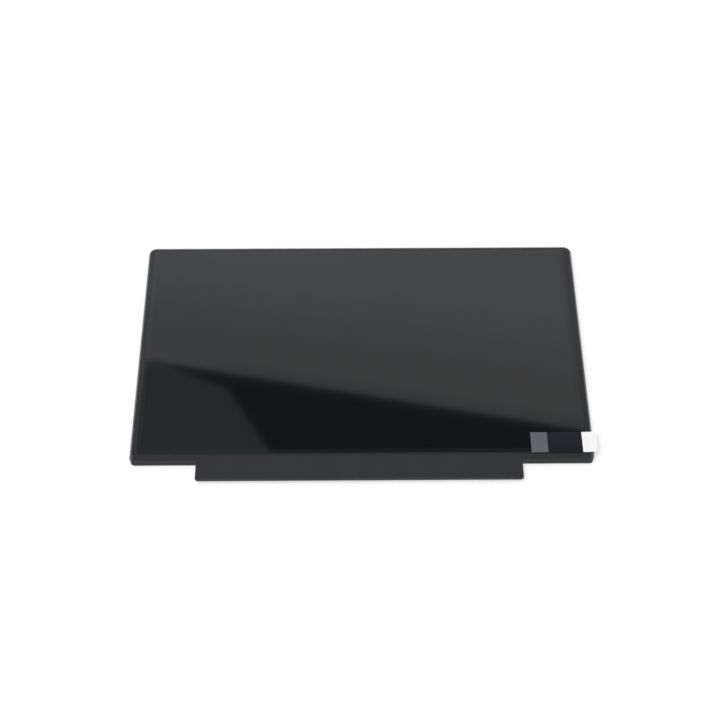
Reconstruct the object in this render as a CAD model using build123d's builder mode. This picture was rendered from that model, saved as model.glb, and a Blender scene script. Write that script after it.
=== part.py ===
from build123d import *
import os

# Slim edge-lit screen module of a small laptop, lying face up on its metal back plate.
# X runs along the screen, Y towards its upper edge and Z out of its front.
# The origin is the middle of the outline, on the rear face of the back plate.
# All sizes are millimetres.

os.makedirs("parts", exist_ok=True)

# Lit area, the borders round it and the module's rounded corners
active_width = 256.1
active_height = 144.0
side_border = 5.95
top_border = 4.5
bottom_border = 9.1
outline_corner = 2.5

# Thicknesses of the sheets, from the back forward
plate_thickness = 0.3
reflector_thickness = 0.15
guide_thickness = 0.55
diffuser_thickness = 0.1
prism_thickness = 0.13
sheet_headroom = 0.04
shelf_thickness = 0.25
seat_tape_thickness = 0.08
glass_thickness = 0.4
polariser_thickness = 0.18
film_thickness = 0.06
bezel_tape_thickness = 0.07

# Back plate: a shallow tray with a folded rim on three sides, its edge hemmed to a double thickness
rim_height = 2.4
hem_depth = 1.5
hem_round = 0.25
fold_radius = 0.6
corner_relief = 3.2
window_length = 7.0
window_height = 0.9
window_level = 1.55
locating_hole_radius = 1.2
locating_hole_inset = 14.0

# Moulded frame inside the tray
plate_clearance = 0.05
frame_wall = 0.9
frame_edge_chamfer = 0.3
rail_depth = 2.2
window_margin = 1.5
lug_clearance = 0.15
lug_reach = 0.4
lug_taper = 20.0
side_lug_count = 3
side_lug_inset = 26.8
top_lug_count = 4
top_lug_inset = 35.0

# Loose optical sheets and their locating ears
sheet_clearance = 0.35
ear_width = 8.0
ear_reach = 0.7
ear_clearance = 0.2
ear_inset = 74.0
sheet_lower_margin = 2.9

# Light bar along the lower edge
led_count = 36
led_length = 3.0
led_depth = 1.1
led_height = 0.62
led_window_depth = 0.25
led_window_rim = 0.12
led_gap = 0.15
led_flex_thickness = 0.12
guide_entry_thickness = 0.7
guide_entry_length = 0.6
guide_taper_length = 1.6
tail_offset = -70.0
tail_width = 12.0
tail_ramp = 3.0
tail_landing = 3.4
tail_bend_radius = 0.8
tail_lead = 0.8
tail_clearance = 0.1
led_strip_margin = 2.0

# Glass, polarisers and the tapes round them
glass_clearance = 0.2
glass_corner_cut = 0.6
bond_ledge = 3.8
polariser_side_inset = 1.9
polariser_top_inset = 1.05
polariser_bottom_inset = 0.3
rear_polariser_clearance = 0.3
seat_tape_inset = 0.2
bezel_tape_gap = 0.15
bezel_tape_inset = 0.2

# Pull tab of the protective film
tab_bend_inset = 2.5
tab_pad_length = 9.7
tab_pad_lap = 1.2
tab_pad_ramp = 0.3
tab_pad_bend = 0.5
tab_clear_length = 20.15
tab_curl_radius = 60.0
tab_curl_angle = 8.0
tab_width = 13.5
tab_centre_from_film = 6.2
tab_corner = 1.0
tab_pad_thickness = 0.05
tab_strip_thickness = 0.06
tab_grip_thickness = 0.08

# Driver board, hung below the lower edge
board_width = 187.4
board_depth = 10.6
board_thickness = 0.6
board_shift = -1.6
board_gap = 0.3
board_corner = 0.8

# Driver flexes between the glass and the board, each with a chip underneath
flex_thickness = 0.08
flex_count = 3
flex_pitch = 62.0
flex_glass_width = 42.0
flex_board_width = 33.0
flex_bond = 2.6
flex_landing = 2.8
chip_length = 22.0
chip_depth = 1.2
chip_height = 0.32
chip_pocket_clearance = 0.3

# Black film over the bond ledge and the front of the board, turned down over the board's free edge
cover_thickness = 0.1
cover_side_inset = 0.7
cover_gap = 0.25
cover_lip = 0.35
cover_board_overlap = 0.3
cover_corner = 1.2
cover_inner_corner = 0.6

# Signal connector on the rear of the board
connector_end_inset = 35.7
connector_length = 19.0
connector_depth = 4.2
connector_height = 0.9
connector_base = 0.25
connector_rear_wall = 1.2
connector_edge_inset = 0.4
mouth_length = 16.2
contact_count = 30
contact_pitch = 0.5
contact_width = 0.22
contact_thickness = 0.14
contact_front_inset = 0.5
contact_tail = 0.9
shell_thickness = 0.15
shell_foot_length = 1.4
shell_foot_width = 0.9
shell_slot_length = 2.4
shell_slot_width = 0.7
shell_slot_pitch = 5.0
shell_slot_count = 3

# Chips and coils on the rear of the board
package_mark_radius = 0.3
package_mark_depth = 0.06
package_mark_inset = 0.75
timing_chip_position = 20.0
timing_chip_side = 7.0
timing_chip_height = 0.85
power_chip_position = -20.0
power_chip_side = 5.0
power_chip_height = 0.8
light_chip_position = -47.5
light_chip_side = 3.5
light_chip_height = 0.75
memory_position = 33.0
memory_length = 4.9
memory_depth = 3.9
memory_height = 1.0
memory_leads = 4
memory_lead_pitch = 1.27
memory_lead_width = 0.42
memory_lead_reach = 0.9
memory_lead_height = 0.2
coil_side = 4.0
coil_places = [(-30.0, 0), (-39.5, 0), (-55.5, 0)]
coil_height = 1.05
coil_corner = 0.7
coil_core_radius = 1.5
coil_core_depth = 0.15
diode_places = [(-34.75, 0), (-60.5, 0)]
diode_length = 2.5
diode_depth = 1.3
diode_height = 0.9
capacitor_length = 1.6
capacitor_depth = 0.8
capacitor_height = 0.8
capacitor_pitch = 2.4
capacitor_row = 4.35
capacitor_bank_position = 6.0
resistor_length = 1.0
resistor_depth = 0.5
resistor_height = 0.35
resistor_pitch = 1.8
resistor_banks = [(-8.0, 0), (42.0, 0), (78.0, 0)]

# Levels of the stack above the rear face
reflector_level = plate_thickness
guide_level = reflector_level + reflector_thickness
diffuser_level = guide_level + guide_thickness
lower_prism_level = diffuser_level + diffuser_thickness
upper_prism_level = lower_prism_level + prism_thickness
shelf_level = upper_prism_level + prism_thickness + sheet_headroom
seat_level = shelf_level + shelf_thickness
array_level = seat_level + seat_tape_thickness
colour_level = array_level + glass_thickness
front_level = colour_level + glass_thickness
film_level = front_level + polariser_thickness
strip_level = film_level + film_thickness
pad_level = strip_level + tab_strip_thickness
board_level = colour_level - board_thickness
cover_level = colour_level + flex_thickness

# Edges of the outline, the cavity and the sheets
panel_width = active_width + 2 * side_border
panel_height = active_height + top_border + bottom_border
right_edge = panel_width / 2
top_edge = panel_height / 2
bottom_edge = -panel_height / 2
rim_thickness = 2 * plate_thickness
hem_foot = rim_height - hem_depth
frame_inset = rim_thickness + plate_clearance
frame_right = right_edge - frame_inset
frame_top = top_edge - frame_inset
tape_right = frame_right - frame_edge_chamfer - bezel_tape_inset
tape_top = frame_top - frame_edge_chamfer - bezel_tape_inset
tape_corner = outline_corner - frame_edge_chamfer - bezel_tape_inset
cavity_right = frame_right - frame_wall
cavity_top = frame_top - frame_wall
cavity_bottom = bottom_edge + rail_depth
active_right = active_width / 2
active_top = top_edge - top_border
active_bottom = active_top - active_height
window_right = active_right + window_margin
window_top = active_top + window_margin
window_bottom = active_bottom - window_margin
glass_right = cavity_right - glass_clearance
glass_top = cavity_top - glass_clearance
array_bottom = cavity_bottom + glass_clearance
colour_bottom = array_bottom + bond_ledge
polariser_right = glass_right - polariser_side_inset
polariser_top = glass_top - polariser_top_inset
polariser_bottom = colour_bottom + polariser_bottom_inset
sheet_right = cavity_right - sheet_clearance
sheet_top = cavity_top - sheet_clearance
sheet_bottom = active_bottom - sheet_lower_margin
led_back = cavity_bottom + led_gap
led_front = led_back + led_depth
guide_bottom = led_front + led_gap
cover_top = colour_bottom - cover_gap
board_top = bottom_edge - board_gap
board_bottom = board_top - board_depth
board_middle = (board_top + board_bottom) / 2
cover_left = board_shift - board_width / 2 - cover_board_overlap
cover_right = board_shift + board_width / 2 + cover_board_overlap
cover_bottom = board_bottom - cover_board_overlap

side_lug_pitch = (panel_height - 2 * side_lug_inset) / (side_lug_count - 1)
top_lug_pitch = (panel_width - 2 * top_lug_inset) / (top_lug_count - 1)
ear_pitch = panel_width - 2 * ear_inset
ear_recess = ear_reach - sheet_clearance + ear_clearance
locating_hole_pitch_x = panel_width - 2 * locating_hole_inset
locating_hole_pitch_y = panel_height - 2 * locating_hole_inset
led_level = plate_thickness + led_flex_thickness
led_pitch = active_width / led_count
led_strip_right = (led_pitch * (led_count - 1) + led_length) / 2 + led_strip_margin
tail_position = board_shift + tail_offset
tail_foot = bottom_edge - tail_lead
tab_middle = polariser_bottom + tab_centre_from_film
tab_bend = polariser_right - tab_bend_inset
tab_pad_right = tab_bend - tab_clear_length
tab_pad_left = tab_pad_right - tab_pad_length
tab_left = tab_pad_left + tab_pad_lap
tab_pad_step = tab_left - tab_pad_ramp
flex_top = array_bottom + flex_bond
flex_bottom = board_top - flex_landing
chip_level = colour_level - chip_height
chip_middle = cavity_bottom - chip_pocket_clearance - chip_depth / 2
lug_length = window_length - 2 * lug_clearance
lug_height = window_height - 2 * lug_clearance

# Working planes on the walls of the frame, the front of the lamps and the sides of the pull tab and black film
right_wall = Plane(origin=(frame_right, 0, window_level), x_dir=(0, 1, 0), z_dir=(1, 0, 0))
left_wall = Plane(origin=(-frame_right, 0, window_level), x_dir=(0, -1, 0), z_dir=(-1, 0, 0))
upper_wall = Plane(origin=(0, frame_top, window_level), x_dir=(-1, 0, 0), z_dir=(0, 1, 0))
led_face = Plane(origin=(0, led_front, led_level + led_height / 2), x_dir=(-1, 0, 0), z_dir=(0, 1, 0))
tab_side = Plane.XZ.offset(-tab_middle)
cover_side = Plane.YZ.offset((cover_left + cover_right) / 2)

# Rear face of the board, seen from behind: local X is X, local Y points at the board's free edge
board_rear = Plane(origin=(board_shift, board_middle, board_level), x_dir=(1, 0, 0), z_dir=(0, 0, -1))
board_edge = board_depth / 2

# The connector, on the rear face of the board, with its mouth at the free edge
connector_position = board_width / 2 - connector_end_inset
connector_front = board_edge - connector_edge_inset
connector_back = connector_front - connector_depth
connector_middle = (connector_front + connector_back) / 2
mouth_back = connector_back + connector_rear_wall
shell_half = connector_length / 2
shell_foot_trim = (connector_depth - shell_foot_length) / 2
shell_foot_pitch = 2 * (shell_half + shell_thickness + shell_foot_width)
shell_foot_trim_pitch = shell_foot_length + shell_foot_trim
connector_x = board_shift + connector_position
shell_front = Plane(
    origin=(connector_x, board_middle - connector_front, board_level),
    x_dir=(-1, 0, 0),
    z_dir=(0, -1, 0),
)
first_contact = connector_x - contact_pitch * (contact_count - 1) / 2
contact_sides = [
    Plane(
        origin=(first_contact + contact_pitch * number, board_middle, board_level),
        x_dir=(0, -1, 0),
        z_dir=(1, 0, 0),
    )
    for number in range(contact_count)
]


def keep(piece, name):
    """Labels a finished piece and writes it to its own file."""
    piece.part.label = name
    export_step(piece.part, f"parts/{name}.step")


def rectangle_between(low_x, high_x, low_y, high_y):
    """Adds a rectangle, given by its edges, to the sketch in hand."""
    with Locations(((low_x + high_x) / 2, (low_y + high_y) / 2)):
        Rectangle(high_x - low_x, high_y - low_y)


def sheet_outline(lower_edge):
    """Adds the outline of a loose sheet, with its two locating ears, to the sketch in hand."""
    rectangle_between(-sheet_right, sheet_right, lower_edge, sheet_top)
    with Locations((0, sheet_top)):
        with GridLocations(ear_pitch, 0, 2, 1):
            Rectangle(ear_width, 2 * ear_reach)


# Section of the rim's hem: the sheet folded back on itself, rounded over the top
with BuildSketch() as hem_section:
    rectangle_between(-plate_thickness, plate_thickness, hem_foot, rim_height)
    fillet(hem_section.vertices().group_by(Axis.Y)[-1], hem_round)

# Back plate: one folded sheet with a hemmed rim on the left, right and upper sides, open below for the board
with BuildPart() as back_plate:
    with BuildSketch(Plane.XZ.offset(corner_relief - top_edge)):
        with BuildLine():
            FilletPolyline(
                (-right_edge, rim_height - hem_round),
                (-right_edge, 0),
                (right_edge, 0),
                (right_edge, rim_height - hem_round),
                radius=fold_radius,
            )
            offset(amount=plate_thickness, side=Side.LEFT)
        make_face()
        with Locations((plate_thickness - right_edge, 0), (right_edge - plate_thickness, 0)):
            add(hem_section.sketch)
    extrude(amount=panel_height - 2 * corner_relief)
    with BuildSketch(Plane.YZ):
        with BuildLine():
            FilletPolyline(
                (0, 0),
                (top_edge, 0),
                (top_edge, rim_height - hem_round),
                radius=fold_radius,
            )
            offset(amount=plate_thickness, side=Side.LEFT)
        make_face()
        with Locations((top_edge - plate_thickness, 0)):
            add(hem_section.sketch)
    extrude(amount=right_edge - corner_relief, both=True)
    with BuildSketch() as floor_outline:
        rectangle_between(fold_radius - right_edge, right_edge - fold_radius, bottom_edge, top_edge - fold_radius)
        fillet(floor_outline.vertices(), outline_corner)
    extrude(amount=plate_thickness)
    with BuildSketch(Plane.YZ):
        with Locations((0, window_level)):
            with GridLocations(side_lug_pitch, 0, side_lug_count, 1):
                Rectangle(window_length, window_height)
    extrude(amount=right_edge, both=True, mode=Mode.SUBTRACT)
    with BuildSketch(Plane.XZ.offset(plate_thickness - top_edge)):
        with Locations((0, window_level)):
            with GridLocations(top_lug_pitch, 0, top_lug_count, 1):
                Rectangle(window_length, window_height)
    extrude(amount=plate_thickness, both=True, mode=Mode.SUBTRACT)
    with BuildSketch():
        with GridLocations(locating_hole_pitch_x, locating_hole_pitch_y, 2, 2):
            Circle(locating_hole_radius)
    extrude(amount=plate_thickness, mode=Mode.SUBTRACT)
keep(back_plate, "back_plate")

# Moulded frame: a shelf for the glass between a sheet cavity below and a glass pocket above
with BuildPart() as middle_frame:
    with BuildSketch(Plane.XY.offset(plate_thickness)) as frame_outline:
        rectangle_between(-frame_right, frame_right, bottom_edge, frame_top)
        fillet(frame_outline.vertices(), outline_corner)
    extrude(amount=front_level - plate_thickness)
    chamfer(middle_frame.faces().sort_by(Axis.Z)[0].edges(), fold_radius - plate_thickness)
    chamfer(middle_frame.faces().sort_by(Axis.Z)[-1].edges(), frame_edge_chamfer)
    with BuildSketch(Plane.XY.offset(plate_thickness)):
        rectangle_between(-cavity_right, cavity_right, cavity_bottom, cavity_top)
        with Locations((0, cavity_top)):
            with GridLocations(ear_pitch, 0, 2, 1):
                Rectangle(ear_width + 2 * ear_clearance, 2 * ear_recess)
    extrude(amount=shelf_level - plate_thickness, mode=Mode.SUBTRACT)
    with BuildSketch(Plane.XY.offset(shelf_level)):
        rectangle_between(-window_right, window_right, window_bottom, window_top)
    extrude(amount=shelf_thickness, mode=Mode.SUBTRACT)
    with BuildSketch(Plane.XY.offset(seat_level)):
        rectangle_between(-cavity_right, cavity_right, cavity_bottom, cavity_top)
    extrude(amount=front_level - seat_level, mode=Mode.SUBTRACT)
    with BuildSketch(Plane.XY.offset(cover_level)):
        rectangle_between(-right_edge, right_edge, bottom_edge, cover_top)
    extrude(amount=front_level - cover_level, mode=Mode.SUBTRACT)
    with BuildSketch(Plane.XY.offset(colour_level)):
        with Locations((board_shift, (cavity_bottom + bottom_edge) / 2)):
            with GridLocations(flex_pitch, 0, flex_count, 1):
                Rectangle(flex_glass_width + 2 * chip_pocket_clearance, rail_depth)
    extrude(amount=flex_thickness, mode=Mode.SUBTRACT)
    with BuildSketch(Plane.XY.offset(chip_level - chip_pocket_clearance / 3)):
        with Locations((board_shift, chip_middle)):
            with GridLocations(flex_pitch, 0, flex_count, 1):
                Rectangle(chip_length + 2 * chip_pocket_clearance, chip_depth + 2 * chip_pocket_clearance)
    extrude(amount=chip_height + chip_pocket_clearance, mode=Mode.SUBTRACT)
    with BuildSketch(Plane.XY.offset(plate_thickness)):
        with Locations((tail_position, (cavity_bottom + bottom_edge) / 2)):
            Rectangle(tail_width + 2 * tail_clearance, rail_depth)
    extrude(amount=led_flex_thickness + tail_clearance, mode=Mode.SUBTRACT)
    with BuildSketch(right_wall, left_wall):
        with GridLocations(side_lug_pitch, 0, side_lug_count, 1):
            Rectangle(lug_length, lug_height)
    extrude(amount=lug_reach, taper=lug_taper)
    with BuildSketch(upper_wall):
        with GridLocations(top_lug_pitch, 0, top_lug_count, 1):
            Rectangle(lug_length, lug_height)
    extrude(amount=lug_reach, taper=lug_taper)
keep(middle_frame, "middle_frame")

# Backlight sheets, from the back forward
with BuildPart() as reflector_sheet:
    with BuildSketch(Plane.XY.offset(reflector_level)):
        sheet_outline(guide_bottom)
    extrude(amount=reflector_thickness)
keep(reflector_sheet, "reflector_sheet")

# Light guide: thicker where the light enters, tapering to the sheet
with BuildPart() as light_guide:
    with BuildSketch(Plane.XY.offset(guide_level)):
        sheet_outline(guide_bottom)
    extrude(amount=guide_thickness)
    with BuildSketch(Plane.YZ):
        Polygon(
            (guide_bottom, guide_level),
            (guide_bottom + guide_entry_length + guide_taper_length, guide_level),
            (guide_bottom + guide_entry_length + guide_taper_length, diffuser_level),
            (guide_bottom + guide_entry_length, guide_level + guide_entry_thickness),
            (guide_bottom, guide_level + guide_entry_thickness),
            align=None,
        )
    extrude(amount=sheet_right, both=True)
keep(light_guide, "light_guide")

with BuildPart() as diffuser_sheet:
    with BuildSketch(Plane.XY.offset(diffuser_level)):
        sheet_outline(sheet_bottom)
    extrude(amount=diffuser_thickness)
keep(diffuser_sheet, "diffuser_sheet")

with BuildPart() as lower_prism_sheet:
    with BuildSketch(Plane.XY.offset(lower_prism_level)):
        sheet_outline(sheet_bottom)
    extrude(amount=prism_thickness)
keep(lower_prism_sheet, "lower_prism_sheet")

with BuildPart() as upper_prism_sheet:
    with BuildSketch(Plane.XY.offset(upper_prism_level)):
        sheet_outline(sheet_bottom)
    extrude(amount=prism_thickness)
keep(upper_prism_sheet, "upper_prism_sheet")

# Light bar: a flexible strip with side-firing lamps and a tail that climbs to the board
with BuildPart() as led_flex:
    with BuildSketch(Plane.XY.offset(plate_thickness)):
        rectangle_between(-led_strip_right, led_strip_right, led_back, led_front)
    extrude(amount=led_flex_thickness)
    with BuildSketch(Plane.YZ.offset(tail_position)):
        with BuildLine():
            FilletPolyline(
                (led_back + led_depth / 2, plate_thickness),
                (tail_foot, plate_thickness),
                (tail_foot - tail_ramp, board_level - led_flex_thickness),
                (tail_foot - tail_ramp - tail_landing, board_level - led_flex_thickness),
                radius=tail_bend_radius,
            )
            offset(amount=led_flex_thickness, side=Side.RIGHT)
        make_face()
    extrude(amount=tail_width / 2, both=True)
keep(led_flex, "led_flex")

with BuildPart() as leds:
    with BuildSketch(Plane.XY.offset(led_level)):
        with Locations((0, led_back + led_depth / 2)):
            with GridLocations(led_pitch, 0, led_count, 1):
                Rectangle(led_length, led_depth)
    extrude(amount=led_height)
    with BuildSketch(led_face):
        with GridLocations(led_pitch, 0, led_count, 1):
            Rectangle(led_length - 2 * led_window_rim, led_height - 2 * led_window_rim)
    extrude(amount=-led_window_depth, mode=Mode.SUBTRACT)
keep(leds, "leds")

# Foam tape between the shelf and the glass
with BuildPart() as seat_tape:
    with BuildSketch(Plane.XY.offset(seat_level)):
        rectangle_between(
            seat_tape_inset - cavity_right,
            cavity_right - seat_tape_inset,
            cavity_bottom + seat_tape_inset,
            cavity_top - seat_tape_inset,
        )
        with Locations((0, (window_top + window_bottom) / 2)):
            Rectangle(2 * window_right, window_top - window_bottom, mode=Mode.SUBTRACT)
    extrude(amount=seat_tape_thickness)
keep(seat_tape, "seat_tape")

# The cell: two glasses with a polariser on each outer face
with BuildPart() as rear_polariser:
    with BuildSketch(Plane.XY.offset(array_level - polariser_thickness)):
        rectangle_between(
            rear_polariser_clearance - window_right,
            window_right - rear_polariser_clearance,
            window_bottom + rear_polariser_clearance,
            window_top - rear_polariser_clearance,
        )
    extrude(amount=polariser_thickness)
keep(rear_polariser, "rear_polariser")

with BuildPart() as array_glass:
    with BuildSketch(Plane.XY.offset(array_level)) as array_outline:
        rectangle_between(-glass_right, glass_right, array_bottom, glass_top)
        chamfer(array_outline.vertices(), glass_corner_cut)
    extrude(amount=glass_thickness)
keep(array_glass, "array_glass")

with BuildPart() as colour_filter_glass:
    with BuildSketch(Plane.XY.offset(colour_level)) as colour_outline:
        rectangle_between(-glass_right, glass_right, colour_bottom, glass_top)
        chamfer(colour_outline.vertices().group_by(Axis.Y)[-1], glass_corner_cut)
    extrude(amount=glass_thickness)
keep(colour_filter_glass, "colour_filter_glass")

with BuildPart() as front_polariser:
    with BuildSketch(Plane.XY.offset(front_level)):
        rectangle_between(-polariser_right, polariser_right, polariser_bottom, polariser_top)
    extrude(amount=polariser_thickness)
keep(front_polariser, "front_polariser")

# Black tape that bridges the frame and the edge of the glass on three sides
with BuildPart() as bezel_tape:
    with BuildSketch(Plane.XY.offset(front_level)) as bezel_outline:
        rectangle_between(-tape_right, tape_right, colour_bottom, tape_top)
        fillet(bezel_outline.vertices().group_by(Axis.Y)[-1], tape_corner)
        with Locations((0, colour_bottom)):
            Rectangle(
                2 * (polariser_right + bezel_tape_gap),
                2 * (polariser_top + bezel_tape_gap - colour_bottom),
                mode=Mode.SUBTRACT,
            )
    extrude(amount=bezel_tape_thickness)
keep(bezel_tape, "bezel_tape")

# Protective film with its pull tab: a clear strip held down by a grey pad, and a paper grip that curls up
with BuildPart() as protective_film:
    with BuildSketch(Plane.XY.offset(film_level)):
        rectangle_between(-polariser_right, polariser_right, polariser_bottom, polariser_top)
    extrude(amount=film_thickness)
keep(protective_film, "protective_film")

with BuildPart() as pull_tab:
    with BuildSketch(tab_side):
        with BuildLine():
            strip_flat = Line((tab_left, strip_level), (tab_bend, strip_level))
            JernArc(strip_flat @ 1, strip_flat % 1, tab_curl_radius, tab_curl_angle)
            offset(amount=tab_strip_thickness, side=Side.LEFT)
        make_face()
    extrude(amount=tab_width / 2, both=True)
    strip_end = pull_tab.faces().sort_by(Axis.X)[-1]
    fillet(strip_end.edges().sort_by(SortBy.LENGTH)[:2], tab_corner)
keep(pull_tab, "pull_tab")

# The pad laps the end of the strip and steps down to the film beside it
with BuildPart() as tab_pad:
    with BuildSketch(tab_side):
        with BuildLine():
            FilletPolyline(
                (tab_pad_left, strip_level),
                (tab_pad_step - tab_pad_ramp, strip_level),
                (tab_pad_step, pad_level),
                (tab_pad_right, pad_level),
                radius=tab_pad_bend,
            )
            offset(amount=tab_pad_thickness, side=Side.LEFT)
        make_face()
    extrude(amount=tab_width / 2, both=True)
keep(tab_pad, "tab_pad")

with BuildPart() as tab_grip:
    with BuildSketch(tab_side):
        with BuildLine():
            JernArc(
                (tab_bend, strip_level + tab_strip_thickness),
                (1, 0),
                tab_curl_radius - tab_strip_thickness,
                tab_curl_angle,
            )
            offset(amount=tab_grip_thickness, side=Side.LEFT)
        make_face()
    extrude(amount=tab_width / 2, both=True)
    grip_end = tab_grip.faces().sort_by(Axis.X)[-1]
    fillet(grip_end.edges().sort_by(SortBy.LENGTH)[:2], tab_corner)
keep(tab_grip, "tab_grip")

# Driver flexes: wide where they are bonded to the glass, narrower on the board
flex_outline = [
    (-flex_glass_width / 2, flex_top),
    (flex_glass_width / 2, flex_top),
    (flex_glass_width / 2, cavity_bottom),
    (flex_board_width / 2, bottom_edge),
    (flex_board_width / 2, flex_bottom),
    (-flex_board_width / 2, flex_bottom),
    (-flex_board_width / 2, bottom_edge),
    (-flex_glass_width / 2, cavity_bottom),
]

with BuildPart() as driver_flex_left:
    with BuildSketch(Plane((board_shift - flex_pitch, 0, colour_level))):
        Polygon(*flex_outline, align=None)
    extrude(amount=flex_thickness)
keep(driver_flex_left, "driver_flex_left")

with BuildPart() as driver_flex_middle:
    with BuildSketch(Plane((board_shift, 0, colour_level))):
        Polygon(*flex_outline, align=None)
    extrude(amount=flex_thickness)
keep(driver_flex_middle, "driver_flex_middle")

with BuildPart() as driver_flex_right:
    with BuildSketch(Plane((board_shift + flex_pitch, 0, colour_level))):
        Polygon(*flex_outline, align=None)
    extrude(amount=flex_thickness)
keep(driver_flex_right, "driver_flex_right")

with BuildPart() as driver_chips:
    with BuildSketch(Plane.XY.offset(chip_level)):
        with Locations((board_shift, chip_middle)):
            with GridLocations(flex_pitch, 0, flex_count, 1):
                Rectangle(chip_length, chip_depth)
    extrude(amount=chip_height)
keep(driver_chips, "driver_chips")

# Driver board
with BuildPart() as driver_board:
    with BuildSketch(board_rear):
        RectangleRounded(board_width, board_depth, board_corner)
    extrude(amount=-board_thickness)
keep(driver_board, "driver_board")

# Black film: a strip over the bond ledge and a broad tab over the board, turned down at its lower edge
with BuildPart() as board_cover_film:
    with BuildSketch(Plane.XY.offset(cover_level)) as cover_outline:
        rectangle_between(
            cover_side_inset - right_edge,
            right_edge - cover_side_inset,
            bottom_edge + cover_lip,
            cover_top,
        )
        rectangle_between(cover_left, cover_right, cover_bottom, cover_top)
        fillet(cover_outline.vertices().group_by(Axis.Y)[0], cover_corner)
        strip_ends = cover_outline.vertices().group_by(Axis.Y)[-2].sort_by(Axis.X)
        fillet(strip_ends[1:3], cover_inner_corner)
        strip_ends = cover_outline.vertices().group_by(Axis.Y)[-2].sort_by(Axis.X)
        fillet([strip_ends[0], strip_ends[-1]], outline_corner - cover_lip)
    extrude(amount=cover_thickness)
    cover_front = board_cover_film.faces().filter_by(Axis.Y).sort_by(Axis.Y)[0]
    with BuildSketch(cover_side):
        rectangle_between(cover_bottom, cover_bottom + cover_thickness, board_level, cover_level)
    extrude(amount=cover_front.length / 2, both=True)
keep(board_cover_film, "board_cover_film")

# Signal connector: a housing with a slot for each contact, under a metal shell
with BuildPart() as connector_housing:
    with BuildSketch(board_rear):
        with Locations((connector_position, connector_middle)):
            Rectangle(connector_length, connector_depth)
    extrude(amount=connector_height)
    with BuildSketch(board_rear.offset(connector_base)):
        with Locations((connector_position, (connector_front + mouth_back) / 2)):
            Rectangle(mouth_length, connector_front - mouth_back)
    extrude(amount=connector_height - connector_base, mode=Mode.SUBTRACT)
    with BuildSketch(board_rear.offset(connector_base - contact_thickness)):
        with Locations((connector_position, connector_middle)):
            with GridLocations(contact_pitch, 0, contact_count, 1):
                Rectangle(contact_width, connector_depth)
    extrude(amount=contact_thickness, mode=Mode.SUBTRACT)
keep(connector_housing, "connector_housing")

with BuildPart() as connector_contacts:
    with BuildSketch(*contact_sides):
        Polygon(
            (connector_back - contact_tail, 0),
            (connector_back - contact_tail / 2, 0),
            (connector_back, connector_base - contact_thickness),
            (connector_front - contact_front_inset, connector_base - contact_thickness),
            (connector_front - contact_front_inset, connector_base),
            (connector_back, connector_base),
            (connector_back - contact_tail / 2, contact_thickness),
            (connector_back - contact_tail, contact_thickness),
            align=None,
        )
    extrude(amount=contact_width / 2, both=True)
keep(connector_contacts, "connector_contacts")

with BuildPart() as connector_shell:
    with BuildSketch(shell_front):
        with BuildLine():
            Polyline(
                (-shell_half - shell_foot_width, 0),
                (-shell_half, 0),
                (-shell_half, connector_height),
                (shell_half, connector_height),
                (shell_half, 0),
                (shell_half + shell_foot_width, 0),
            )
            offset(amount=shell_thickness, side=Side.LEFT, kind=Kind.INTERSECTION)
        make_face()
    extrude(amount=-connector_depth)
    with BuildSketch(board_rear.offset(connector_height)):
        with Locations((connector_position, connector_middle)):
            with GridLocations(shell_slot_pitch, 0, shell_slot_count, 1):
                Rectangle(shell_slot_length, shell_slot_width)
    extrude(amount=shell_thickness, mode=Mode.SUBTRACT)
    with BuildSketch(board_rear):
        with Locations((connector_position, connector_middle)):
            with GridLocations(shell_foot_pitch, shell_foot_trim_pitch, 2, 2):
                Rectangle(2 * shell_foot_width, shell_foot_trim)
    extrude(amount=shell_thickness, mode=Mode.SUBTRACT)
keep(connector_shell, "connector_shell")

# Chips on the rear of the board, each with a dimple at its first corner
with BuildPart() as timing_chip:
    with BuildSketch(board_rear):
        with Locations((timing_chip_position, 0)):
            Rectangle(timing_chip_side, timing_chip_side)
    extrude(amount=timing_chip_height)
    timing_mark = timing_chip_side / 2 - package_mark_inset
    with BuildSketch(board_rear.offset(timing_chip_height)):
        with Locations((timing_chip_position - timing_mark, timing_mark)):
            Circle(package_mark_radius)
    extrude(amount=-package_mark_depth, mode=Mode.SUBTRACT)
keep(timing_chip, "timing_chip")

with BuildPart() as power_chip:
    with BuildSketch(board_rear):
        with Locations((power_chip_position, 0)):
            Rectangle(power_chip_side, power_chip_side)
    extrude(amount=power_chip_height)
    power_mark = power_chip_side / 2 - package_mark_inset
    with BuildSketch(board_rear.offset(power_chip_height)):
        with Locations((power_chip_position - power_mark, power_mark)):
            Circle(package_mark_radius)
    extrude(amount=-package_mark_depth, mode=Mode.SUBTRACT)
keep(power_chip, "power_chip")

with BuildPart() as light_chip:
    with BuildSketch(board_rear):
        with Locations((light_chip_position, 0)):
            Rectangle(light_chip_side, light_chip_side)
    extrude(amount=light_chip_height)
    light_mark = light_chip_side / 2 - package_mark_inset
    with BuildSketch(board_rear.offset(light_chip_height)):
        with Locations((light_chip_position - light_mark, light_mark)):
            Circle(package_mark_radius)
    extrude(amount=-package_mark_depth, mode=Mode.SUBTRACT)
keep(light_chip, "light_chip")

with BuildPart() as memory_chip:
    with BuildSketch(board_rear):
        with Locations((memory_position, 0)):
            Rectangle(memory_length, memory_depth)
            with GridLocations(memory_lead_pitch, memory_depth + memory_lead_reach, memory_leads, 2):
                Rectangle(memory_lead_width, memory_lead_reach)
    extrude(amount=memory_lead_height)
    with BuildSketch(board_rear):
        with Locations((memory_position, 0)):
            Rectangle(memory_length, memory_depth)
    extrude(amount=memory_height)
keep(memory_chip, "memory_chip")

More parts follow.
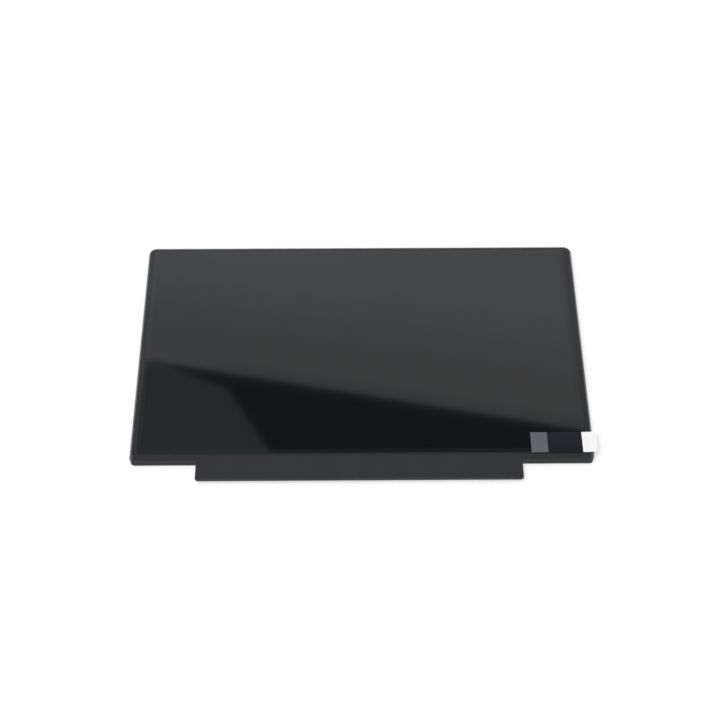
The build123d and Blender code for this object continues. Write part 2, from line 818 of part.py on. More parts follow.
# Coils, diodes, capacitors and resistors
with BuildPart() as coils:
    with BuildSketch(board_rear):
        with Locations(*coil_places):
            RectangleRounded(coil_side, coil_side, coil_corner)
    extrude(amount=coil_height)
    with BuildSketch(board_rear.offset(coil_height)):
        with Locations(*coil_places):
            Circle(coil_core_radius)
    extrude(amount=-coil_core_depth, mode=Mode.SUBTRACT)
keep(coils, "coils")

with BuildPart() as diodes:
    with BuildSketch(board_rear):
        with Locations(*diode_places):
            Rectangle(diode_depth, diode_length)
    extrude(amount=diode_height)
keep(diodes, "diodes")

with BuildPart() as chip_capacitors:
    with BuildSketch(board_rear):
        with Locations((timing_chip_position, capacitor_row)):
            with GridLocations(capacitor_pitch, 0, 4, 1):
                Rectangle(capacitor_length, capacitor_depth)
        with Locations((power_chip_position, 0)):
            with GridLocations(capacitor_pitch, 2 * capacitor_row, 3, 2):
                Rectangle(capacitor_length, capacitor_depth)
        with Locations((capacitor_bank_position, 0)):
            with GridLocations(capacitor_pitch, capacitor_pitch, 3, 3):
                Rectangle(capacitor_length, capacitor_depth)
    extrude(amount=capacitor_height)
keep(chip_capacitors, "chip_capacitors")

with BuildPart() as chip_resistors:
    with BuildSketch(board_rear):
        with Locations(*resistor_banks):
            with GridLocations(resistor_pitch, resistor_pitch, 3, 4):
                Rectangle(resistor_length, resistor_depth)
    extrude(amount=resistor_height)
keep(chip_resistors, "chip_resistors")
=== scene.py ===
import math

import bmesh
import bpy
from mathutils import Matrix, Vector


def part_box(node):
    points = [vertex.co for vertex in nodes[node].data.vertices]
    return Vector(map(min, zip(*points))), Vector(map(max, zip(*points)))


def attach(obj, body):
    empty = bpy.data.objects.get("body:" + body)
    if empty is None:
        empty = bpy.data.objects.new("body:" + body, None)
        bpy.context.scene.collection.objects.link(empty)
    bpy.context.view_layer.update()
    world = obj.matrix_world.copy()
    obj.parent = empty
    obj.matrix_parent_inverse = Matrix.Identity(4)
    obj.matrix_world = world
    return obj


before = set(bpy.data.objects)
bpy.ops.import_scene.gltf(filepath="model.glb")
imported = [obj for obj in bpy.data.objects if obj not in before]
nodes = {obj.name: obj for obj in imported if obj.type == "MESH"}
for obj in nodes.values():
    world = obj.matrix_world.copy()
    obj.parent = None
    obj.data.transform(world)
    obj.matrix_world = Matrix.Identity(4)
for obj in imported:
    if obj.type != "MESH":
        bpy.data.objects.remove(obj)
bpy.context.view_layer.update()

# A slim laptop screen module lies face up on a white table, seen from above its lower edge.
# Everything is in metres, with the origin in the middle of the back plate's rear face.

MM = 0.001
scene = bpy.context.scene

# The lit area, which the film's colours follow, and half the width of its blurred border
LIT_HALF_WIDTH = 128.05 * MM
LIT_TOP = 74.3 * MM
LIT_BOTTOM = -69.7 * MM
LIT_SOFT = 0.4 * MM

# The cover film's narrow strip and broad tab, and the painted highlight band along their lower edges
STRIP_EDGE = -78.45 * MM
TAB_MIDDLE = -1.6 * MM
TAB_HALF_WIDTH = 94.0 * MM
HIGHLIGHT_BAND_WIDTH = 1.3 * MM

# A finish drifts in colour over patches of this many grains, unless it says otherwise
GRAINS_PER_PATCH = 30


def linear(code):
    """An sRGB hex colour as linear red, green, blue and alpha."""
    parts = [int(code[i : i + 2], 16) / 255 for i in (1, 3, 5)]
    return tuple(p / 12.92 if p <= 0.04045 else ((p + 0.055) / 1.055) ** 2.4 for p in parts) + (1.0,)


def feed(tree, node, inputs):
    """Sets a node's inputs. Each takes a value, a hex colour, an output, or a node for its first output."""
    for key, value in inputs.items():
        if isinstance(value, bpy.types.Node):
            value = next(output for output in value.outputs if output.enabled)
        if isinstance(value, bpy.types.NodeSocket):
            tree.links.new(value, node.inputs[key])
        elif isinstance(value, str) and value.startswith("#"):
            node.inputs[key].default_value = linear(value)
        else:
            node.inputs[key].default_value = value


def add_node(tree, kind, inputs=None, **settings):
    """Adds a node with its settings and links."""
    node = tree.nodes.new(kind)
    for name, value in settings.items():
        setattr(node, name, value)
    feed(tree, node, inputs or {})
    return node


def bare_material(name):
    """A material with an empty node tree."""
    material = bpy.data.materials.new(name)
    material.use_nodes = True
    material.node_tree.nodes.clear()
    return material, material.node_tree


def new_material(name, **sockets):
    """A material with one Principled shader, whose constant sockets are set by name."""
    material, tree = bare_material(name)
    shader = add_node(tree, "ShaderNodeBsdfPrincipled", {k.replace("_", " "): v for k, v in sockets.items()})
    add_node(tree, "ShaderNodeOutputMaterial", {"Surface": shader})
    return material, tree, shader


def object_place(tree):
    """The place on the object, in metres."""
    return add_node(tree, "ShaderNodeTexCoord").outputs["Object"]


def soft_share(tree, borders, joined="MULTIPLY"):
    """A share that is 1 past every border. Each border is a value, where its soft step starts and its end."""
    share = None
    for value, start, end in borders:
        step = add_node(
            tree,
            "ShaderNodeMapRange",
            {"Value": value, "From Min": start, "From Max": end},
            interpolation_type="SMOOTHSTEP",
        )
        if share is None:
            share = step
        else:
            share = add_node(tree, "ShaderNodeMath", {0: share, 1: step}, operation=joined)
    return share


def patch_and_relief(tree, grain_mm, height_mm, patch_mm):
    """A slow drift over patches of the surface, and the relief of a fine grain."""
    place = object_place(tree)
    patch, grain = (
        add_node(tree, "ShaderNodeTexNoise", {"Vector": place, "Scale": 1 / (size * MM), "Detail": detail})
        for size, detail in ((patch_mm, 3.0), (grain_mm, 2.0))
    )
    return patch, add_node(tree, "ShaderNodeBump", {"Height": grain, "Distance": height_mm * MM})


def dress(material, *names):
    """Gives these CAD nodes their finished material."""
    for name in names:
        slots = nodes[name].data.materials
        slots.clear()
        slots.append(material)


def protective_film():
    """Clear polyester film, rolled smooth, over a dark polariser: a faintly wavy mirror over near black.
    The black mask round the lit area is a little greyer than the lit area."""
    material, tree, shader = new_material("polyester_film_gloss_over_polariser", Roughness=0.045, IOR=1.66)
    place = object_place(tree)
    axes = add_node(tree, "ShaderNodeSeparateXYZ", {0: place})
    across = add_node(tree, "ShaderNodeMath", {0: axes.outputs["X"]}, operation="ABSOLUTE")
    lit = soft_share(
        tree,
        (
            (across, LIT_HALF_WIDTH + LIT_SOFT, LIT_HALF_WIDTH - LIT_SOFT),
            (axes.outputs["Y"], LIT_TOP + LIT_SOFT, LIT_TOP - LIT_SOFT),
            (axes.outputs["Y"], LIT_BOTTOM - LIT_SOFT, LIT_BOTTOM + LIT_SOFT),
        ),
    )
    tone = add_node(tree, "ShaderNodeMix", {0: lit, 6: "#182020", 7: "#0f1817"}, data_type="RGBA")
    # Dust on the film: specks a fifth of a millimetre wide, about one every 8 mm
    specks = add_node(tree, "ShaderNodeTexVoronoi", {"Vector": place, "Scale": 1 / (8 * MM)})
    dust = add_node(
        tree, "ShaderNodeMapRange", {"Value": specks, "From Min": 0.03, "From Max": 0.012, "To Max": 0.25}
    )
    tone = add_node(tree, "ShaderNodeMix", {0: dust, 6: tone, 7: "#5d6064"}, data_type="RGBA")
    # The film lies in waves some 45 mm long and a hundredth of a millimetre high
    waves = add_node(tree, "ShaderNodeTexNoise", {"Vector": place, "Scale": 1 / (45 * MM), "Detail": 1.0})
    relief = add_node(tree, "ShaderNodeBump", {"Height": waves, "Distance": 0.02 * MM})
    feed(tree, shader, {"Base Color": tone, "Normal": relief})
    return material


def grained(name, dark, pale, grain_mm, height_mm, patch_mm=None, **sockets):
    """A finish with a fine grain in relief and a slow drift between two close colours."""
    material, tree, shader = new_material(name, **sockets)
    patch, relief = patch_and_relief(tree, grain_mm, height_mm, patch_mm or grain_mm * GRAINS_PER_PATCH)
    tone = add_node(tree, "ShaderNodeMix", {0: patch, 6: dark, 7: pale}, data_type="RGBA")
    feed(tree, shader, {"Base Color": tone, "Normal": relief})
    return material


def board_cover():
    """Black polyester film with a matt printed face. Along its folded edges it has a painted highlight: paler
    bands where the edges catch the light.
    """
    material, tree, shader = new_material("polyester_film_black_matt", Roughness=0.6, IOR=1.45)
    low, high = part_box("board_cover_film")
    axes = add_node(tree, "ShaderNodeSeparateXYZ", {0: object_place(tree)})
    patch, relief = patch_and_relief(tree, grain_mm=0.5, height_mm=0.012, patch_mm=14)
    tone = add_node(tree, "ShaderNodeMix", {0: patch, 6: "#24262a", 7: "#2c2e32"}, data_type="RGBA")
    # Painted highlight: paler bands along the lower edge of the broad tab, and of the strip on both sides of
    # it
    tab_edge_highlight, strip_edge_highlight = (
        add_node(
            tree,
            "ShaderNodeMapRange",
            {"Value": axes.outputs["Y"], "From Min": edge + HIGHLIGHT_BAND_WIDTH, "From Max": edge + HIGHLIGHT_BAND_WIDTH / 2},
        )
        for edge in (low.y, STRIP_EDGE)
    )
    off = add_node(tree, "ShaderNodeMath", {0: axes.outputs["X"], 1: TAB_MIDDLE}, operation="SUBTRACT")
    off = add_node(tree, "ShaderNodeMath", {0: off}, operation="ABSOLUTE")
    beside = add_node(tree, "ShaderNodeMath", {0: off, 1: TAB_HALF_WIDTH}, operation="GREATER_THAN")
    strip_edge_highlight = add_node(tree, "ShaderNodeMath", {0: strip_edge_highlight, 1: beside}, operation="MULTIPLY")
    edge_highlight = add_node(tree, "ShaderNodeMath", {0: tab_edge_highlight, 1: strip_edge_highlight}, operation="MAXIMUM")
    # Painted highlight: the edge bands are mixed to a paler grey, standing in for the light that the folded
    # edges catch
    tone = add_node(tree, "ShaderNodeMix", {0: edge_highlight, 6: tone, 7: "#3a3b3e"}, data_type="RGBA")
    # Painted highlight, strongest at both ends of the strip, beside the metal rim
    across = add_node(tree, "ShaderNodeMath", {0: axes.outputs["X"]}, operation="ABSOLUTE")
    end_highlight = add_node(
        tree, "ShaderNodeMapRange", {"Value": across, "From Min": high.x - HIGHLIGHT_BAND_WIDTH, "From Max": high.x}
    )
    tone = add_node(tree, "ShaderNodeMix", {0: end_highlight, 6: tone, 7: "#646a6c"}, data_type="RGBA")
    feed(tree, shader, {"Base Color": tone, "Normal": relief})
    return material


def moulded_frame():
    """Black polycarbonate with a spark-eroded mould grain. Its bevelled front edge has a painted highlight:
    pale grey where it catches the light.
    """
    material, tree, shader = new_material("polycarbonate_black_moulded", Roughness=0.52, IOR=1.58)
    patch, relief = patch_and_relief(tree, grain_mm=0.35, height_mm=0.01, patch_mm=10)
    moulded = add_node(tree, "ShaderNodeMix", {0: patch, 6: "#121214", 7: "#19191c"}, data_type="RGBA")
    # Painted highlight: a pale grey for the bevel, in place of the light that it catches
    bevel_highlight = add_node(tree, "ShaderNodeMix", {0: patch, 6: "#788082", 7: "#868e90"}, data_type="RGBA")
    # The bevel is the one surface that faces half upwards, and it takes the painted highlight
    normal = add_node(tree, "ShaderNodeNewGeometry").outputs["Normal"]
    upright = add_node(tree, "ShaderNodeSeparateXYZ", {0: normal}).outputs["Z"]
    half_upwards = {0: upright, 1: math.cos(math.pi / 4), 2: 0.2}
    bevel = add_node(tree, "ShaderNodeMath", half_upwards, operation="COMPARE")
    tone = add_node(tree, "ShaderNodeMix", {0: bevel, 6: moulded, 7: bevel_highlight}, data_type="RGBA")
    feed(tree, shader, {"Base Color": tone, "Normal": relief})
    return material


def rolled(name, dark, pale, line_mm, run_mm, height_mm, rough_range, along="X"):
    """A rolled or drawn metal: fine lines along one way, which its tone, roughness and relief follow."""
    material, tree, shader = new_material(name, Metallic=1.0)
    place = object_place(tree)
    fine, long = 1 / (line_mm * MM), 1 / (run_mm * MM)
    scale = {"X": (long, fine, fine), "Y": (fine, long, fine)}[along]
    stretched = add_node(tree, "ShaderNodeMapping", {"Vector": place, "Scale": scale})
    lines = add_node(tree, "ShaderNodeTexNoise", {"Vector": stretched, "Scale": 1.0, "Detail": 3.0})
    cloud = add_node(tree, "ShaderNodeTexNoise", {"Vector": place, "Scale": 1 / (60 * MM), "Detail": 2.0})
    both = add_node(tree, "ShaderNodeMath", {0: lines, 1: cloud}, operation="MULTIPLY")
    tone = add_node(tree, "ShaderNodeMix", {0: lines, 6: dark, 7: pale}, data_type="RGBA")
    low, high = rough_range
    rough = add_node(
        tree,
        "ShaderNodeMapRange",
        {"Value": both, "From Min": 0.1, "From Max": 0.4, "To Min": low, "To Max": high},
    )
    relief = add_node(tree, "ShaderNodeBump", {"Height": lines, "Distance": height_mm * MM})
    feed(tree, shader, {"Base Color": tone, "Roughness": rough, "Normal": relief})
    return material


def aluminium_plate():
    """Bare rolled aluminium sheet: fine lines along the sheet, faint streaks a few millimetres wide, and
    light scuffs from handling. Real rolling lines are near 0.05 mm wide, and are drawn at 0.6 mm to show."""
    material, tree, shader = new_material("aluminium_sheet_rolled_bare", Metallic=1.0)
    place = object_place(tree)
    layers = {}
    for name, run_mm, line_mm, turn_deg, detail in (
        ("lines", 70, 0.6, 0, 3.0),
        ("streaks", 260, 3, 0, 3.0),
        ("scuffs", 16, 0.35, 28, 1.0),
        ("cross_scuffs", 11, 0.3, -47, 1.0),
    ):
        turn = (0, 0, math.radians(turn_deg))
        turned = add_node(tree, "ShaderNodeMapping", {"Vector": place, "Rotation": turn})
        scale = (1 / (run_mm * MM), 1 / (line_mm * MM), 1 / (line_mm * MM))
        stretched = add_node(tree, "ShaderNodeMapping", {"Vector": turned, "Scale": scale})
        layers[name] = add_node(
            tree, "ShaderNodeTexNoise", {"Vector": stretched, "Scale": 1.0, "Detail": detail}
        )
    # Only the strongest of the scuffs show, and those faintly
    scuffs, cross_scuffs = (
        add_node(tree, "ShaderNodeMapRange", {"Value": layers[name], "From Min": 0.68, "From Max": 0.76})
        for name in ("scuffs", "cross_scuffs")
    )
    marks = add_node(tree, "ShaderNodeMath", {0: scuffs, 1: cross_scuffs}, operation="MAXIMUM")
    faint = add_node(tree, "ShaderNodeMath", {0: marks, 1: 0.5}, operation="MULTIPLY")
    dulled = add_node(
        tree,
        "ShaderNodeMapRange",
        {"Value": layers["streaks"], "From Min": 0.35, "From Max": 0.7, "To Max": 0.18},
    )
    tone = add_node(tree, "ShaderNodeMix", {0: layers["lines"], 6: "#a8aaac", 7: "#c3c5c7"}, data_type="RGBA")
    tone = add_node(tree, "ShaderNodeMix", {0: dulled, 6: tone, 7: "#8c8e92"}, data_type="RGBA")
    tone = add_node(tree, "ShaderNodeMix", {0: faint, 6: tone, 7: "#d4d6d8"}, data_type="RGBA")
    rough = add_node(
        tree,
        "ShaderNodeMapRange",
        {"Value": layers["streaks"], "From Min": 0.3, "From Max": 0.7, "To Min": 0.33, "To Max": 0.42},
    )
    relief = add_node(tree, "ShaderNodeBump", {"Height": layers["lines"], "Distance": 0.006 * MM})
    feed(tree, shader, {"Base Color": tone, "Roughness": rough, "Normal": relief})
    return material


def leaded_package(name, reach):
    """Black moulded epoxy with tinned leads: metal over this reach at both ends of the package along Y."""
    material, tree, shader = new_material("epoxy_package_with_tinned_leads", IOR=1.55)
    low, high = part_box(name)
    place = object_place(tree)
    y = add_node(tree, "ShaderNodeSeparateXYZ", {0: place}).outputs["Y"]
    off = add_node(tree, "ShaderNodeMath", {0: y, 1: (low.y + high.y) / 2}, operation="SUBTRACT")
    off = add_node(tree, "ShaderNodeMath", {0: off}, operation="ABSOLUTE")
    body_half = (high.y - low.y) / 2 - reach
    lead = add_node(tree, "ShaderNodeMath", {0: off, 1: body_half}, operation="GREATER_THAN")
    grain = add_node(tree, "ShaderNodeTexNoise", {"Vector": place, "Scale": 1 / (0.18 * MM), "Detail": 2.0})
    epoxy = add_node(tree, "ShaderNodeMix", {0: grain, 6: "#141416", 7: "#1c1c1f"}, data_type="RGBA")
    tone = add_node(tree, "ShaderNodeMix", {0: lead, 6: epoxy, 7: "#c4c6c3"}, data_type="RGBA")
    rough = add_node(tree, "ShaderNodeMapRange", {"Value": lead, "To Min": 0.48, "To Max": 0.26})
    relief = add_node(tree, "ShaderNodeBump", {"Height": grain, "Distance": 0.004 * MM})
    feed(tree, shader, {"Base Color": tone, "Metallic": lead, "Roughness": rough, "Normal": relief})
    return material


def solder_mask():
    """Green solder mask over copper: paler where copper lies under it, dark in the gaps between the runs."""
    material, tree, shader = new_material("solder_mask_green_satin", Roughness=0.32, IOR=1.52)
    place = object_place(tree)
    # Copper areas some 7 by 2.4 mm, parted by 0.25 mm gaps
    pours = add_node(
        tree,
        "ShaderNodeTexBrick",
        {
            "Vector": place,
            "Scale": 1.0,
            "Brick Width": 7 * MM,
            "Row Height": 2.4 * MM,
            "Mortar Size": 0.13 * MM,
            "Mortar Smooth": 0.2,
            "Bias": 0.0,
            "Color1": "#145a38",
            "Color2": "#0f4a2f",
            "Mortar": "#0a2f1f",
        },
        offset=0.37,
        squash=0.6,
        squash_frequency=3,
    )
    # Bundles of runs along the board, 0.4 mm wide and as far apart, in patches between the copper areas.
    # A wave of this kind repeats after 2 pi / 20 at a scale of 1.
    run_scale = math.pi / 20 / (0.4 * MM)
    runs = add_node(
        tree,
        "ShaderNodeTexWave",
        {"Vector": place, "Scale": run_scale, "Distortion": 0.0},
        bands_direction="Y",
    ).outputs["Fac"]
    patches = add_node(tree, "ShaderNodeTexNoise", {"Vector": place, "Scale": 1 / (9 * MM), "Detail": 0.0})
    where = add_node(tree, "ShaderNodeMapRange", {"Value": patches, "From Min": 0.52, "From Max": 0.56})
    line = add_node(tree, "ShaderNodeMapRange", {"Value": runs, "From Min": 0.4, "From Max": 0.6})
    bundle = add_node(tree, "ShaderNodeMix", {0: line, 6: "#0a2f1f", 7: "#1b6a42"}, data_type="RGBA")
    copper = add_node(tree, "ShaderNodeMix", {0: where, 6: pours, 7: bundle}, data_type="RGBA")
    # The cut sides are bare glass-filled laminate
    normal = add_node(tree, "ShaderNodeNewGeometry").outputs["Normal"]
    upright = add_node(tree, "ShaderNodeSeparateXYZ", {0: normal}).outputs["Z"]
    upright = add_node(tree, "ShaderNodeMath", {0: upright}, operation="ABSOLUTE")
    flat = add_node(tree, "ShaderNodeMath", {0: upright, 1: 0.5}, operation="GREATER_THAN")
    tone = add_node(tree, "ShaderNodeMix", {0: flat, 6: "#a39a5e", 7: copper}, data_type="RGBA")
    grey = add_node(tree, "ShaderNodeRGBToBW", {0: copper})
    relief = add_node(tree, "ShaderNodeBump", {"Height": grey, "Distance": 0.1 * MM})
    feed(tree, shader, {"Base Color": tone, "Normal": relief})
    return material


# A grained finish is given by its dark and pale colour, then its grain's width and height and, where it
# has one of its own, the size of its patches, all in millimetres.
dress(protective_film(), "protective_film")
# Stretched polarising film: even and dark, with a soft gloss
dress(
    grained("polarising_film_gloss", "#1e2426", "#262c2e", 0.5, 0.001, Roughness=0.2, IOR=1.5),
    "front_polariser",
    "rear_polariser",
)
# Float glass over a black mask: its ground edges scatter light, so they show as a dull grey-green line
dress(
    grained("float_glass_ground_edge", "#2a3132", "#363d3e", 0.3, 0.004, Roughness=0.4, IOR=1.52),
    "array_glass",
    "colour_filter_glass",
)
# Black polyester tape with a satin face
dress(
    grained("polyester_tape_black_satin", "#1d1e21", "#26272b", 0.4, 0.003, Roughness=0.3, IOR=1.6),
    "bezel_tape",
)
dress(board_cover(), "board_cover_film")
dress(moulded_frame(), "middle_frame")
dress(aluminium_plate(), "back_plate")
# Acrylic foam adhesive behind clear film: matt grey and slightly blotched
dress(
    grained("acrylic_foam_adhesive_grey", "#595c64", "#666971", 0.5, 0.01, 4, Roughness=0.62, IOR=1.46),
    "tab_pad",
)
# Clear polyester strip over black: a dark blue-grey with a slight ripple in its shine
dress(
    grained("polyester_strip_clear_over_black", "#141921", "#191f28", 6, 0.01, Roughness=0.16, IOR=1.57),
    "pull_tab",
)
# Uncoated white paper: dull, with a faint grain of fibres
dress(grained("paper_white_uncoated", "#fafaf9", "#ffffff", 0.3, 0.01, Roughness=0.88, IOR=1.4), "tab_grip")
dress(solder_mask(), "driver_board")
# Polyimide film over copper: brown amber with a satin shine
dress(
    grained("polyimide_flex_amber", "#6b3d10", "#82501a", 0.6, 0.003, Roughness=0.3, IOR=1.6),
    "driver_flex_left",
    "driver_flex_middle",
    "driver_flex_right",
)
# White printed coverlay: pale and half matt
dress(
    grained("polyimide_flex_white_coverlay", "#dcd9cf", "#ebe8de", 0.5, 0.004, Roughness=0.45), "led_flex"
)
# Moulded white resin, a little yellow from the phosphor in it
dress(grained("lamp_resin_white", "#e9e4cf", "#f1edda", 0.3, 0.004, Roughness=0.4), "leds")
# Foam tape: black and dull, with open cells
dress(grained("foam_tape_black", "#0f0f10", "#17171a", 0.4, 0.03, Roughness=0.85), "seat_tape")
# Filled polyester sheet: white with a silky sheen
dress(
    grained("polyester_reflector_white", "#eef0f1", "#f6f7f7", 0.6, 0.004, Roughness=0.4), "reflector_sheet"
)
# Cast acrylic: pale and glossy at its cut edges
dress(
    grained("acrylic_guide_clear", "#dfe8e6", "#e9f0ee", 0.8, 0.004, Roughness=0.12, IOR=1.49), "light_guide"
)
# Frosted polyester sheet: pale, and dull from its fine beads and grooves
dress(
    grained("polyester_optical_sheet_frosted", "#d6dade", "#e3e6e9", 0.3, 0.006, Roughness=0.5),
    "diffuser_sheet",
    "lower_prism_sheet",
    "upper_prism_sheet",
)
# Ground silicon: dark grey with a cool shine
dress(grained("silicon_die_ground", "#3f4148", "#4a4c54", 0.2, 0.001, Roughness=0.25), "driver_chips")
# Moulded epoxy: black, with the fine grain of its eroded mould
dress(
    grained("epoxy_package_black_moulded", "#141416", "#1c1c1f", 0.18, 0.006, Roughness=0.48, IOR=1.55),
    "timing_chip",
    "power_chip",
    "light_chip",
    "diodes",
)
MEMORY_LEAD_REACH = 0.88 * MM
dress(leaded_package("memory_chip", MEMORY_LEAD_REACH), "memory_chip")
# Pressed ferrite powder: dark grey and slightly rough, like slate
dress(grained("ferrite_pressed_grey", "#303136", "#3d3e44", 0.25, 0.015, Roughness=0.68), "coils")
# Moulded ivory polymer: half matt, with a faint flow of colour
dress(
    grained("liquid_crystal_polymer_ivory", "#c9c0ac", "#d6cebb", 0.25, 0.005, Roughness=0.5),
    "connector_housing",
)
# Tinned steel strip: pale grey with fine rolling lines along the connector
tinned_strip = rolled(
    "steel_strip_tinned",
    "#a7a7a3",
    "#c4c4bf",
    line_mm=0.12,
    run_mm=6,
    height_mm=0.001,
    rough_range=(0.22, 0.36),
)
dress(tinned_strip, "connector_shell")
# Gold plating on drawn copper alloy: warm and bright, with fine lines along each contact
gold = rolled(
    "copper_alloy_gold_plated",
    "#c9953a",
    "#e2b459",
    line_mm=0.08,
    run_mm=3,
    height_mm=0.0005,
    rough_range=(0.18, 0.3),
    along="Y",
)
dress(gold, "connector_contacts")
# Fired ceramic: tan, smooth and half matt
dress(
    grained("barium_titanate_fired_tan", "#8a6844", "#9d7a55", 0.2, 0.004, Roughness=0.42), "chip_capacitors"
)
# Black glaze over a ceramic body: smooth with a soft shine
dress(grained("resistor_glaze_black", "#111113", "#1a1a1d", 0.2, 0.003, Roughness=0.3), "chip_resistors")

# Small pieces on the rear of the board. They hang from its rear face, so their trees are built upwards
# from nothing and turned over where they are placed.
board_low, board_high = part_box("driver_board")
BOARD_REAR = board_low.z
BOARD_MIDDLE = (board_low + board_high) / 2
# The four ways that a joint may face on the board, as turns from the X axis
TO_RIGHT, TO_TOP, TO_LEFT, TO_BOTTOM = (quarter * math.pi / 2 for quarter in range(4))


def solid_boxes(name):
    """The lowest and highest corner of each separate solid in a CAD node, from left to right."""
    shape = bmesh.new()
    shape.from_mesh(nodes[name].data)
    bmesh.ops.remove_doubles(shape, verts=shape.verts, dist=0.001 * MM)
    waiting = set(shape.verts)
    boxes = []
    while waiting:
        reached = [waiting.pop()]
        low, high = reached[0].co.copy(), reached[0].co.copy()
        while reached:
            corner = reached.pop()
            low = Vector(map(min, low, corner.co))
            high = Vector(map(max, high, corner.co))
            for edge in corner.link_edges:
                other = edge.other_vert(corner)
                if other in waiting:
                    waiting.discard(other)
                    reached.append(other)
        boxes.append((low, high))
    shape.free()
    return sorted(boxes, key=lambda box: (round(box[0].x, 6), round(box[0].y, 6)))


def facing(turn):
    """The way that a piece with this turn faces, along the board."""
    return Vector((math.cos(turn), math.sin(turn), 0))


def on_board(place):
    """The same place on the board's rear face."""
    return Vector((place.x, place.y, BOARD_REAR))


def spread(count, pitch):
    """Even steps to both sides of a middle."""
    return [(i - (count - 1) / 2) * pitch for i in range(count)]


def chip_ends(boxes, outwards):
    """Both ends of each chip, along its longer side, this far out from its end faces."""
    ends = []
    for low, high in boxes:
        size = high - low
        lengthways = TO_RIGHT if size.x >= size.y else TO_TOP
        for turn in (lengthways, lengthways + math.pi):
            reach = max(size.x, size.y) / 2 + outwards
            ends.append((on_board((low + high) / 2 + facing(turn) * reach), turn))
    return ends


def row_joints(box, count, pitch, *turns):
    """Places of an even row of joints along each side of a box that faces one of these ways."""
    low, high = box
    half = (high - low) / 2
    joints = []
    for turn in turns:
        out = facing(turn)
        middle = low + half + out * (abs(out.x) * half.x + abs(out.y) * half.y)
        along = facing(turn + math.pi / 2)
        joints += [(on_board(middle + along * step), turn) for step in spread(count, pitch)]
    return joints


def grid(middle_x, middle_y, pitch, columns, rows):
    """A grid of places on the board, about a point given from the board's middle."""
    middle = BOARD_MIDDLE + Vector((middle_x, middle_y, 0))
    return [
        (on_board(middle + Vector((x, y, 0))), TO_RIGHT)
        for x in spread(columns, pitch)
        for y in spread(rows, pitch)
    ]


def start_tree(name, *sizes):
    """A geometry tree whose inputs are the places, the finish and these named sizes, in metres."""
    tree = bpy.data.node_groups.new(name, "GeometryNodeTree")
    tree.interface.new_socket("Places", in_out="INPUT", socket_type="NodeSocketGeometry")
    tree.interface.new_socket("Finish", in_out="INPUT", socket_type="NodeSocketMaterial")
    for size in sizes:
        tree.interface.new_socket(size, in_out="INPUT", socket_type="NodeSocketFloat")
    tree.interface.new_socket("Pieces", in_out="OUTPUT", socket_type="NodeSocketGeometry")
    return tree, add_node(tree, "NodeGroupInput").outputs


def end_tree(tree, given, shapes):
    """Makes the copies real and gives them their finish."""
    real = add_node(tree, "GeometryNodeRealizeInstances", {"Geometry": shapes})
    dressed = add_node(tree, "GeometryNodeSetMaterial", {"Geometry": real, "Material": given["Finish"]})
    add_node(tree, "NodeGroupOutput", {"Pieces": dressed})
    return tree


def hang_copies(tree, places, shape):
    """Hangs the shape at each place, turned by the place's own angle."""
    turn = add_node(tree, "GeometryNodeInputNamedAttribute", {"Name": "turn"}, data_type="FLOAT")
    over = add_node(tree, "ShaderNodeCombineXYZ", {"X": math.pi, "Z": turn})
    spin = add_node(tree, "FunctionNodeEulerToRotation", {0: over})
    return add_node(
        tree, "GeometryNodeInstanceOnPoints", {"Points": places, "Instance": shape, "Rotation": spin}
    )


def end_cap_tree():
    """A tinned cap over the end of a chip: a rounded box round the body, with its outer rim drawn in."""
    tree, given = start_tree("end_cap", "Length", "Width", "Height", "Proud", "Edge")
    twice = add_node(tree, "ShaderNodeMath", {0: given["Proud"], 1: 2.0}, operation="MULTIPLY")
    width = add_node(tree, "ShaderNodeMath", {0: given["Width"], 1: twice}, operation="ADD")
    height = add_node(tree, "ShaderNodeMath", {0: given["Height"], 1: given["Proud"]}, operation="ADD")
    middle = add_node(tree, "ShaderNodeMath", {0: height, 1: 0.5}, operation="MULTIPLY")
    back = add_node(tree, "ShaderNodeMath", {0: given["Proud"], 1: given["Length"]}, operation="SUBTRACT")
    outline = add_node(
        tree, "GeometryNodeCurvePrimitiveQuadrilateral", {"Width": width, "Height": height}
    )
    rounded = add_node(
        tree,
        "GeometryNodeFilletCurve",
        {"Curve": outline, "Count": 2, "Radius": given["Edge"], "Limit Radius": True},
        mode="POLY",
    )
    start = add_node(tree, "ShaderNodeCombineXYZ", {"X": back, "Z": middle})
    end = add_node(tree, "ShaderNodeCombineXYZ", {"X": given["Proud"], "Z": middle})
    line = add_node(tree, "GeometryNodeCurvePrimitiveLine", {"Start": start, "End": end})
    path = add_node(tree, "GeometryNodeResampleCurve", {"Curve": line, "Count": 5})
    along = add_node(tree, "GeometryNodeSplineParameter").outputs["Factor"]
    # The last quarter of the cap draws in to 0.88 of its section
    drawn_in = add_node(
        tree,
        "ShaderNodeMapRange",
        {"Value": along, "From Min": 0.75, "From Max": 1.0, "To Min": 1.0, "To Max": 0.88},
    )
    cap = add_node(
        tree,
        "GeometryNodeCurveToMesh",
        {"Curve": path, "Profile Curve": rounded, "Scale": drawn_in, "Fill Caps": True},
    )
    return end_tree(tree, given, hang_copies(tree, given["Places"], cap))


